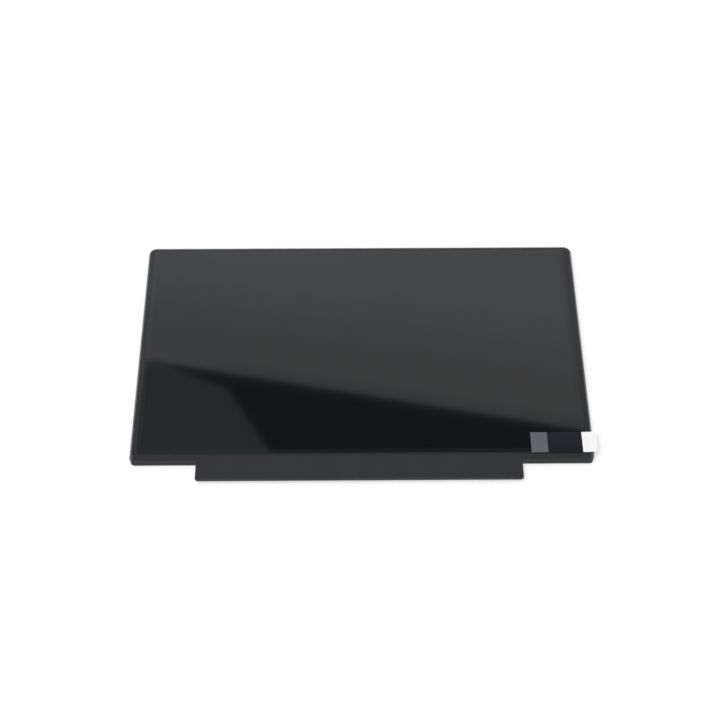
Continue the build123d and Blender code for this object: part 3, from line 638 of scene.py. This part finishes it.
def solder_tree():
    """A solder fillet: a wedge that climbs from its pad to the part in a hollow curve."""
    tree, given = start_tree("solder_fillet", "Length", "Width", "Height", "Foot")
    block = add_node(
        tree,
        "GeometryNodeMeshCube",
        {"Size": (1, 1, 1), "Vertices X": 6, "Vertices Y": 2, "Vertices Z": 2},
    )
    place = add_node(tree, "GeometryNodeInputPosition")
    axes = add_node(tree, "ShaderNodeSeparateXYZ", {0: place})
    # Shares of the way out from the part and up from the pad
    out = add_node(tree, "ShaderNodeMath", {0: axes.outputs["X"], 1: 0.5}, operation="ADD")
    up = add_node(tree, "ShaderNodeMath", {0: axes.outputs["Z"], 1: 0.5}, operation="ADD")
    left = add_node(tree, "ShaderNodeMath", {0: 1.0, 1: out}, operation="SUBTRACT")
    hollow = add_node(tree, "ShaderNodeMath", {0: left, 1: 2.0}, operation="POWER")
    climb = add_node(
        tree, "ShaderNodeMapRange", {"Value": hollow, "To Min": given["Foot"], "To Max": given["Height"]}
    )
    x = add_node(tree, "ShaderNodeMath", {0: out, 1: given["Length"]}, operation="MULTIPLY")
    y = add_node(tree, "ShaderNodeMath", {0: axes.outputs["Y"], 1: given["Width"]}, operation="MULTIPLY")
    z = add_node(tree, "ShaderNodeMath", {0: up, 1: climb}, operation="MULTIPLY")
    moved = add_node(tree, "ShaderNodeCombineXYZ", {"X": x, "Y": y, "Z": z})
    wedge = add_node(tree, "GeometryNodeSetPosition", {"Geometry": block, "Position": moved})
    return end_tree(tree, given, hang_copies(tree, given["Places"], wedge))


def mound_tree():
    """A low round mound: a flattened ball, sunk to its middle."""
    tree, given = start_tree("mound", "Radius", "Height")
    ball = add_node(tree, "GeometryNodeMeshUVSphere", {"Segments": 14, "Rings": 8, "Radius": 1.0})
    size = add_node(
        tree, "ShaderNodeCombineXYZ", {"X": given["Radius"], "Y": given["Radius"], "Z": given["Height"]}
    )
    low = add_node(tree, "GeometryNodeTransform", {"Geometry": ball, "Scale": size})
    smooth = add_node(tree, "GeometryNodeSetShadeSmooth", {"Geometry": low, "Shade Smooth": True})
    return end_tree(tree, given, hang_copies(tree, given["Places"], smooth))


def via_tree():
    """Rings round the plated holes, an even pitch apart along each line."""
    tree, given = start_tree("via_rings", "Pitch", "Radius", "Rim", "Height")
    lines = add_node(tree, "GeometryNodeMeshToCurve", {"Mesh": given["Places"]})
    spots = add_node(
        tree, "GeometryNodeCurveToPoints", {"Curve": lines, "Length": given["Pitch"]}, mode="LENGTH"
    )
    circle = add_node(
        tree, "GeometryNodeCurvePrimitiveCircle", {"Resolution": 12, "Radius": given["Radius"]}, mode="RADIUS"
    )
    section = add_node(
        tree,
        "GeometryNodeCurvePrimitiveQuadrilateral",
        {"Width": given["Rim"], "Height": given["Height"]},
    )
    ring = add_node(tree, "GeometryNodeCurveToMesh", {"Curve": circle, "Profile Curve": section})
    return end_tree(tree, given, hang_copies(tree, spots, ring))


def ink_tree():
    """Printed lines: a flat strip of ink along each path."""
    tree, given = start_tree("ink_lines", "Line width", "Line height")
    lines = add_node(tree, "GeometryNodeMeshToCurve", {"Mesh": given["Places"]})
    section = add_node(
        tree,
        "GeometryNodeCurvePrimitiveQuadrilateral",
        {"Width": given["Line width"], "Height": given["Line height"]},
    )
    strips = add_node(
        tree, "GeometryNodeCurveToMesh", {"Curve": lines, "Profile Curve": section, "Fill Caps": True}
    )
    return end_tree(tree, given, strips)


def places_mesh(name, places):
    """Loose points, each with the turn of what hangs there."""
    mesh = bpy.data.meshes.new(name)
    mesh.from_pydata([place for place, turn in places], [], [])
    turns = mesh.attributes.new("turn", "FLOAT", "POINT")
    turns.data.foreach_set("value", [turn for place, turn in places])
    return mesh


def lines_mesh(name, lines):
    """Loose edges along each line of points."""
    mesh = bpy.data.meshes.new(name)
    points = [point for line in lines for point in line]
    edges = []
    first = 0
    for line in lines:
        edges += [(first + i, first + i + 1) for i in range(len(line) - 1)]
        first += len(line)
    mesh.from_pydata(points, edges, [])
    return mesh


def node_piece(name, slot, finish, mesh, tree, **sizes):
    """The plain mesh that a tree makes of these places or lines, riding with the module."""
    piece = bpy.data.objects.new(name, mesh)
    scene.collection.objects.link(piece)
    made = piece.modifiers.new(name, "NODES")
    made.node_group = tree
    values = {"Finish": finish, **{key.replace("_", " "): value for key, value in sizes.items()}}
    for socket in tree.interface.items_tree:
        if socket.in_out == "INPUT" and socket.name in values:
            made[socket.identifier] = values[socket.name]
    depsgraph = bpy.context.evaluated_depsgraph_get()
    result = bpy.data.meshes.new_from_object(piece.evaluated_get(depsgraph), depsgraph=depsgraph)
    # Joined copies bring an empty material slot of their own
    if result.materials[0] is None:
        result.materials.pop(index=0)
    piece.modifiers.clear()
    piece.data = result
    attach(piece, "root")


# Tin solder as it sets: bright, with faint grains
solder = grained(
    "tin_solder_reflowed", "#b7b9b6", "#d3d4d0", 0.15, 0.004, 1.2, Metallic=1.0, Roughness=0.24
)
# Tin plating over silver: a little duller and whiter than solder
tinned = grained(
    "tin_plating_satin", "#bfc0bd", "#d0d1ce", 0.12, 0.003, 1.5, Metallic=1.0, Roughness=0.34
)
# Screen-printed epoxy ink, matt, slightly broken at its edges
ink = grained("marking_ink_white_matt", "#d3d3cc", "#e9e9e3", 0.12, 0.004, 0.8, Roughness=0.72)

cap_shape = end_cap_tree()
fillet_shape = solder_tree()
mound_shape = mound_tree()
ring_shape = via_tree()
ink_shape = ink_tree()
SOLDER_FOOT = 0.03 * MM


def tinned_ends(name, boxes, length, width, height, proud, edge):
    """Tinned metal over both ends of each of these parts."""
    node_piece(
        name,
        "shell_steel",
        tinned,
        places_mesh(name, chip_ends(boxes, 0.0)),
        cap_shape,
        Length=length,
        Width=width,
        Height=height,
        Proud=proud,
        Edge=edge,
    )


def soldered(name, joints, length, width, height):
    """A solder fillet at each of these joints."""
    node_piece(
        name,
        "shell_steel",
        solder,
        places_mesh(name, joints),
        fillet_shape,
        Length=length,
        Width=width,
        Height=height,
        Foot=SOLDER_FOOT,
    )


# End caps of the chip capacitors and resistors, with solder at each end
CAP_PROUD = 0.025 * MM
for kind, cap_length, cap_edge, solder_reach, solder_climb in (
    ("capacitor", 0.32 * MM, 0.08 * MM, 0.32 * MM, 0.42 * MM),
    ("resistor", 0.22 * MM, 0.04 * MM, 0.24 * MM, 0.22 * MM),
):
    boxes = solid_boxes(f"chip_{kind}s")
    size = boxes[0][1] - boxes[0][0]
    width = min(size.x, size.y)
    joints = chip_ends(boxes, CAP_PROUD)
    tinned_ends(f"{kind}_end_caps", boxes, cap_length, width, size.z, CAP_PROUD, cap_edge)
    soldered(f"{kind}_solder", joints, solder_reach, width + 2 * CAP_PROUD, solder_climb)

# Joints along the chips' four sides, at the leads' ends, behind the connector and beside its shell
CHIP_PITCH = 0.5 * MM
LEAD_PITCH = 1.27 * MM
CONTACT_PITCH = 0.5 * MM
CHIP_JOINTS = {"timing_chip": 12, "power_chip": 8, "light_chip": 5}
LEADS_PER_SIDE = 4
CONTACTS = 30
SHELL_JOINTS_PER_SIDE = 1
chip_joints = []
for chip, count in CHIP_JOINTS.items():
    chip_joints += row_joints(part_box(chip), count, CHIP_PITCH, TO_RIGHT, TO_TOP, TO_LEFT, TO_BOTTOM)
lead_joints = row_joints(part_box("memory_chip"), LEADS_PER_SIDE, LEAD_PITCH, TO_TOP, TO_BOTTOM)
contact_joints = row_joints(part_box("connector_contacts"), CONTACTS, CONTACT_PITCH, TO_TOP)
shell_joints = row_joints(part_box("connector_shell"), SHELL_JOINTS_PER_SIDE, 0.0, TO_RIGHT, TO_LEFT)
soldered("chip_solder", chip_joints, length=0.26 * MM, width=0.28 * MM, height=0.2 * MM)
soldered("lead_solder", lead_joints, length=0.35 * MM, width=0.5 * MM, height=0.18 * MM)
soldered("contact_solder", contact_joints, length=0.25 * MM, width=0.28 * MM, height=0.13 * MM)
soldered("shell_solder", shell_joints, length=0.5 * MM, width=1.3 * MM, height=0.16 * MM)

# Metal terminals that fold up the ends of the coils and the diodes, on pads a little wider than they are
TERMINAL_PROUD = 0.08 * MM
TERMINAL_EDGE = 0.05 * MM
PAD_EXTRA_WIDTH = 0.2 * MM
for kind, length, width, height in (
    ("coil", 0.4 * MM, 1.6 * MM, 0.6 * MM),
    ("diode", 0.3 * MM, 0.9 * MM, 0.35 * MM),
):
    boxes = solid_boxes(f"{kind}s")
    joints = chip_ends(boxes, TERMINAL_PROUD)
    tinned_ends(f"{kind}_terminals", boxes, length, width, height, TERMINAL_PROUD, TERMINAL_EDGE)
    soldered(f"{kind}_solder", joints, length=0.35 * MM, width=width + PAD_EXTRA_WIDTH, height=0.3 * MM)

# Solder mounds where the lamp bar's tail is joined to the board
TAIL_MIDDLE_X = -70 * MM
TAIL_MIDDLE_Y = -0.6 * MM
TAIL_THICKNESS = 0.12 * MM
TAIL_PITCH = 1.8 * MM
TAIL_JOINTS = 6
tail_mounds = [
    (place - Vector((0, 0, TAIL_THICKNESS)), turn)
    for place, turn in grid(TAIL_MIDDLE_X, TAIL_MIDDLE_Y, TAIL_PITCH, TAIL_JOINTS, rows=1)
]
node_piece(
    "tail_solder",
    "shell_steel",
    solder,
    places_mesh("tail_solder", tail_mounds),
    mound_shape,
    Radius=0.6 * MM,
    Height=0.25 * MM,
)

# Gold test pads in the free ends of the board, and tinned rings along its edges
PAD_PITCH = 2.2 * MM
PAD_MIDDLE_Y = 0.4 * MM
pads = []
for pad_middle_x, columns in ((-86 * MM, 5), (88 * MM, 4)):
    pads += grid(pad_middle_x, PAD_MIDDLE_Y, PAD_PITCH, columns, rows=2)
node_piece(
    "test_pads",
    "contact_gold",
    gold,
    places_mesh("test_pads", pads),
    mound_shape,
    Radius=0.5 * MM,
    Height=0.04 * MM,
)
# Each line of rings: its two ends in millimetres along the board, and the edge that it follows
EDGE_LINE = 4.95 * MM
via_lines = []
for start_x, end_x, side in (
    (-92, -26, 1),
    (-92, -26, -1),
    (-14, 45, 1),
    (-14, 13, -1),
    (27, 45, -1),
    (71, 92, 1),
    (71, 92, -1),
):
    via_lines.append(
        [on_board(BOARD_MIDDLE + Vector((x * MM, side * EDGE_LINE, 0))) for x in (start_x, end_x)]
    )
node_piece(
    "edge_vias",
    "shell_steel",
    tinned,
    lines_mesh("edge_vias", via_lines),
    ring_shape,
    Pitch=3 * MM,
    Radius=0.18 * MM,
    Rim=0.12 * MM,
    Height=0.05 * MM,
)

# Printed corner marks round the parts, and a bar on each diode
MARK_GAP = 0.3 * MM
MARK_LENGTH = 0.75 * MM
BAR_FROM_END = 0.5 * MM
BAR_FROM_SIDES = 0.02 * MM
mark_lines = []
marked = [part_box(name) for name in ("timing_chip", "power_chip", "light_chip", "memory_chip")]
for low, high in marked + solid_boxes("coils"):
    middle = on_board((low + high) / 2)
    half = (high - low) / 2
    for side_x in (1, -1):
        for side_y in (1, -1):
            corner = middle + Vector((side_x * (half.x + MARK_GAP), side_y * (half.y + MARK_GAP), 0))
            mark_lines.append(
                [
                    corner - Vector((side_x * MARK_LENGTH, 0, 0)),
                    corner,
                    corner - Vector((0, side_y * MARK_LENGTH, 0)),
                ]
            )
for low, high in solid_boxes("diodes"):
    bar_ends = (low.x + BAR_FROM_SIDES, high.x - BAR_FROM_SIDES)
    mark_lines.append([Vector((x, high.y - BAR_FROM_END, low.z)) for x in bar_ends])
node_piece(
    "corner_marks",
    "tab_paper",
    ink,
    lines_mesh("corner_marks", mark_lines),
    ink_shape,
    Line_width=0.15 * MM,
    Line_height=0.04 * MM,
)

# The photograph's camera, fitted to the edges of the outline, the board's tab and the pull tab
CAMERA_TARGET = Vector((-0.691 * MM, -5.966 * MM, 0))
CAMERA_DISTANCE = 846.06 * MM
CAMERA_ELEVATION = math.radians(55.889)
CAMERA_YAW = math.radians(-0.54)
CAMERA_ROLL = math.radians(0.161)
CAMERA_LENS = 69.882
CAMERA_SENSOR = 36

backwards = Vector(
    (
        math.sin(CAMERA_YAW) * math.cos(CAMERA_ELEVATION),
        -math.cos(CAMERA_YAW) * math.cos(CAMERA_ELEVATION),
        math.sin(CAMERA_ELEVATION),
    )
)
level = Vector((math.cos(CAMERA_YAW), math.sin(CAMERA_YAW), 0))
upwards = backwards.cross(level)
rolled_right = math.cos(CAMERA_ROLL) * level + math.sin(CAMERA_ROLL) * upwards
rolled_up = math.cos(CAMERA_ROLL) * upwards - math.sin(CAMERA_ROLL) * level
camera_turn = Matrix((rolled_right, rolled_up, backwards)).transposed().to_4x4()
camera_place = CAMERA_TARGET + backwards * CAMERA_DISTANCE
camera_data = bpy.data.cameras.new("photo_camera")
camera_data.lens = CAMERA_LENS
camera_data.sensor_width = CAMERA_SENSOR
camera = bpy.data.objects.new("photo_camera", camera_data)
camera.matrix_world = Matrix.Translation(camera_place) @ camera_turn
scene.collection.objects.link(camera)
scene.camera = camera


def rectangle(left, bottom, right, top):
    """The four corners of a rectangle, in order."""
    return [(left, bottom), (right, bottom), (right, top), (left, top)]


def stage_sheet(name, corners, material, shown_to):
    """A flat stage sheet through these corners, which only one kind of ray meets: camera or glossy."""
    mesh = bpy.data.meshes.new(name)
    mesh.from_pydata([Vector(c) for c in corners], [], [range(len(corners))])
    mesh.materials.append(material)
    sheet = bpy.data.objects.new(name, mesh)
    scene.collection.objects.link(sheet)
    for rays in ("camera", "diffuse", "glossy", "transmission", "shadow"):
        setattr(sheet, f"visible_{rays}", rays == shown_to)


# The table, with the distances from the module over which it runs out to plain white
FLOOR_HALF = 6.0
FLOOR_DROP = 0.1 * MM
FLOOR_GLOW = 0.45
FLOOR_FADE = (0.35, 1.2)


def table_material():
    """Matt white table: it takes the module's soft shadow, and a camera under it looks through."""
    material, tree = bare_material("table_white_matt")
    white = add_node(tree, "ShaderNodeBsdfDiffuse", {"Color": "#cecece"})
    lift = add_node(tree, "ShaderNodeEmission", {"Color": "#ffffff", "Strength": FLOOR_GLOW})
    near = add_node(tree, "ShaderNodeAddShader", {0: white, 1: lift})
    plain = add_node(tree, "ShaderNodeEmission", {"Color": "#ffffff", "Strength": 1.0})
    away = add_node(tree, "ShaderNodeVectorMath", {0: object_place(tree)}, operation="LENGTH")
    fade = add_node(
        tree, "ShaderNodeMapRange", {"Value": away, "From Min": FLOOR_FADE[0], "From Max": FLOOR_FADE[1]}
    )
    top = add_node(tree, "ShaderNodeMixShader", {0: fade, 1: near, 2: plain})
    under = add_node(tree, "ShaderNodeNewGeometry").outputs["Backfacing"]
    through = add_node(tree, "ShaderNodeBsdfTransparent")
    mixed = add_node(tree, "ShaderNodeMixShader", {0: under, 1: top, 2: through})
    add_node(tree, "ShaderNodeOutputMaterial", {"Surface": mixed})
    return material


floor_corners = rectangle(-FLOOR_HALF, -FLOOR_HALF, FLOOR_HALF, FLOOR_HALF)
stage_sheet("table_top", [(x, y, -FLOOR_DROP) for x, y in floor_corners], table_material(), "camera")

# The card that the film mirrors: pale above a slanting edge, dark below it, with a dim patch at the lower
# left. Its lines are set out where they fall on the film, in millimetres, from left to right. From
# CARD_SOFT on, each pair is where a soft step starts and ends: along X, or by the distance below a line.
CARD_HEIGHT = 900 * MM
CARD_REACH_X = 260.0
CARD_REACH_Y = (-230.0, 260.0)
CARD_EDGE = ((-100.0, -12.4), (100.0, -51.7))
CARD_DIM_SIDES = ((-105.6, -15.9), (-79.4, -27.8), (-53.7, -71.0))
CARD_SOFT = (-1.6, 1.6)
CARD_COOL = (60.0, -110.0)
CARD_RISE = (-20.0, -100.0)
CARD_FALL = (126.5, 129.7)
CARD_BAND = (-13.0, -5.0)
CARD_BAND_END = (-105.0, -75.0)
CARD_SPREAD = CARD_HEIGHT / camera_place.z


def mirrored_in_film(x, y):
    """Where on the card's level the camera sees the film's point x, y (in mm) mirrored."""
    return (
        x * MM + CARD_SPREAD * (x * MM - camera_place.x),
        y * MM + CARD_SPREAD * (y * MM - camera_place.y),
        CARD_HEIGHT,
    )


def card_material():
    """Glowing card: a pale tone that cools to the left and rises with height, over black with a dim
    grey-green patch."""
    material, tree = bare_material("studio_card_pale_to_dark")
    # From metres on the card back to millimetres on the film
    shift = (CARD_SPREAD * camera_place.x, CARD_SPREAD * camera_place.y, 0)
    moved = add_node(tree, "ShaderNodeVectorMath", {0: object_place(tree), 1: shift}, operation="ADD")
    film_scale = 1 / MM / (1 + CARD_SPREAD)
    film = add_node(tree, "ShaderNodeVectorMath", {0: moved, "Scale": film_scale}, operation="SCALE")

    def below(start, end):
        """How far a place lies below the line between two points of the film, in millimetres."""
        along = Vector(end) - Vector(start)
        down = Vector((along.y, -along.x)).normalized()
        lie = add_node(tree, "ShaderNodeVectorMath", {0: film, 1: (*down, 0)}, operation="DOT_PRODUCT")
        return add_node(tree, "ShaderNodeMath", {0: lie, 1: down.dot(Vector(start))}, operation="SUBTRACT")

    across = add_node(tree, "ShaderNodeSeparateXYZ", {0: film}).outputs["X"]
    depth = below(*CARD_EDGE)
    upper_side = below(*CARD_DIM_SIDES[:2])
    right_side = below(*CARD_DIM_SIDES[1:])
    cool = soft_share(tree, [(across, *CARD_COOL)])
    rise = soft_share(tree, [(depth, *CARD_RISE)])
    # A narrow darker band runs along the edge, and fades out at the left
    band = soft_share(tree, [(depth, *CARD_BAND), (across, *CARD_BAND_END)])
    # The far right of the card falls off to an even grey
    fall = soft_share(tree, [(across, *CARD_FALL)])
    dim = soft_share(tree, [(upper_side, *CARD_SOFT), (right_side, *CARD_SOFT)], "MINIMUM")
    edge = soft_share(tree, [(depth, *CARD_SOFT)])
    far = add_node(tree, "ShaderNodeMix", {0: cool, 6: "#ede8f0", 7: "#eff2fc"}, data_type="RGBA")
    pale = add_node(tree, "ShaderNodeMix", {0: rise, 6: "#d4cdd1", 7: far}, data_type="RGBA")
    pale = add_node(tree, "ShaderNodeMix", {0: band, 6: pale, 7: "#c4bdc1"}, data_type="RGBA")
    pale = add_node(tree, "ShaderNodeMix", {0: fall, 6: pale, 7: "#b5b1b5"}, data_type="RGBA")
    dark = add_node(tree, "ShaderNodeMix", {0: dim, 6: "#1f1d1f", 7: "#768684"}, data_type="RGBA")
    tone = add_node(tree, "ShaderNodeMix", {0: edge, 6: pale, 7: dark}, data_type="RGBA")
    glow = add_node(tree, "ShaderNodeEmission", {"Color": tone, "Strength": 1.0})
    add_node(tree, "ShaderNodeOutputMaterial", {"Surface": glow})
    return material


card_corners = rectangle(-CARD_REACH_X, CARD_REACH_Y[0], CARD_REACH_X, CARD_REACH_Y[1])
stage_sheet("ceiling_card", [mirrored_in_film(x, y) for x, y in card_corners], card_material(), "glossy")

# Grey flags on both sides, seen by mirrors alone, which give the metal rim its darker side
FLAG_PLACE = 0.75
FLAG_REACH = 1.3
FLAG_BOTTOM = -0.7
FLAG_TOP = 0.9
FLAG_SOFT_EDGE = 0.35
FLAG_TONE = 0.32


def flag_material():
    """Glowing grey flag that fades to nothing at its borders."""
    material, tree = bare_material("studio_flag_grey")
    axes = add_node(tree, "ShaderNodeSeparateXYZ", {0: object_place(tree)})
    along = add_node(tree, "ShaderNodeMath", {0: axes.outputs["Y"]}, operation="ABSOLUTE")
    share = soft_share(
        tree,
        (
            (along, FLAG_REACH, FLAG_REACH - FLAG_SOFT_EDGE),
            (axes.outputs["Z"], FLAG_BOTTOM, FLAG_BOTTOM + FLAG_SOFT_EDGE),
            (axes.outputs["Z"], FLAG_TOP, FLAG_TOP - FLAG_SOFT_EDGE),
        ),
    )
    grey = add_node(tree, "ShaderNodeEmission", {"Color": "#ffffff", "Strength": FLAG_TONE})
    clear = add_node(tree, "ShaderNodeBsdfTransparent")
    mixed = add_node(tree, "ShaderNodeMixShader", {0: share, 1: clear, 2: grey})
    add_node(tree, "ShaderNodeOutputMaterial", {"Surface": mixed})
    return material


flag_grey = flag_material()
flag_corners = rectangle(-FLAG_REACH, FLAG_BOTTOM, FLAG_REACH, FLAG_TOP)
for flag_name, flag_x in (("grey_flag_left", -FLAG_PLACE), ("grey_flag_right", FLAG_PLACE)):
    stage_sheet(flag_name, [(flag_x, y, z) for y, z in flag_corners], flag_grey, "glossy")

# Soft light: a white world for the eye, greyer overhead for mirrors, dimmer as a fill, and one broad lamp
FILL_LEVEL = 0.66
MIRROR_LEVEL_AT_POLES = 0.6
KEY_POWER = 12.0
KEY_SIZE = 1.4
KEY_PLACE = Vector((-0.7, -0.2, 1.6))

world = bpy.data.worlds.new("white_room")
scene.world = world
world.use_nodes = True
room = world.node_tree
room.nodes.clear()
rays = add_node(room, "ShaderNodeLightPath").outputs
seen = add_node(
    room,
    "ShaderNodeMath",
    {0: rays["Is Camera Ray"], 1: rays["Is Transmission Ray"]},
    operation="MAXIMUM",
)
level_seen = add_node(room, "ShaderNodeMix", {0: seen, 2: FILL_LEVEL, 3: 1.0}, data_type="FLOAT")
direction = add_node(room, "ShaderNodeTexCoord").outputs["Generated"]
steepness = add_node(room, "ShaderNodeSeparateXYZ", {0: direction}).outputs["Z"]
steepness = add_node(room, "ShaderNodeMath", {0: steepness}, operation="ABSOLUTE")
mirrored = add_node(
    room, "ShaderNodeMapRange", {"Value": steepness, "To Min": 1.0, "To Max": MIRROR_LEVEL_AT_POLES}
)
strength = add_node(
    room, "ShaderNodeMix", {0: rays["Is Glossy Ray"], 2: level_seen, 3: mirrored}, data_type="FLOAT"
)
glow = add_node(room, "ShaderNodeBackground", {"Color": "#ffffff", "Strength": strength})
add_node(room, "ShaderNodeOutputWorld", {"Surface": glow})

lamp_data = bpy.data.lights.new("overhead_softbox", "AREA")
lamp_data.energy = KEY_POWER
lamp_data.shape = "SQUARE"
lamp_data.size = KEY_SIZE
lamp = bpy.data.objects.new("overhead_softbox", lamp_data)
lamp.location = KEY_PLACE
lamp.rotation_mode = "QUATERNION"
lamp.rotation_quaternion = (-KEY_PLACE).to_track_quat("-Z", "Y")
lamp.visible_glossy = False
scene.collection.objects.link(lamp)

scene.view_settings.view_transform = "Standard"
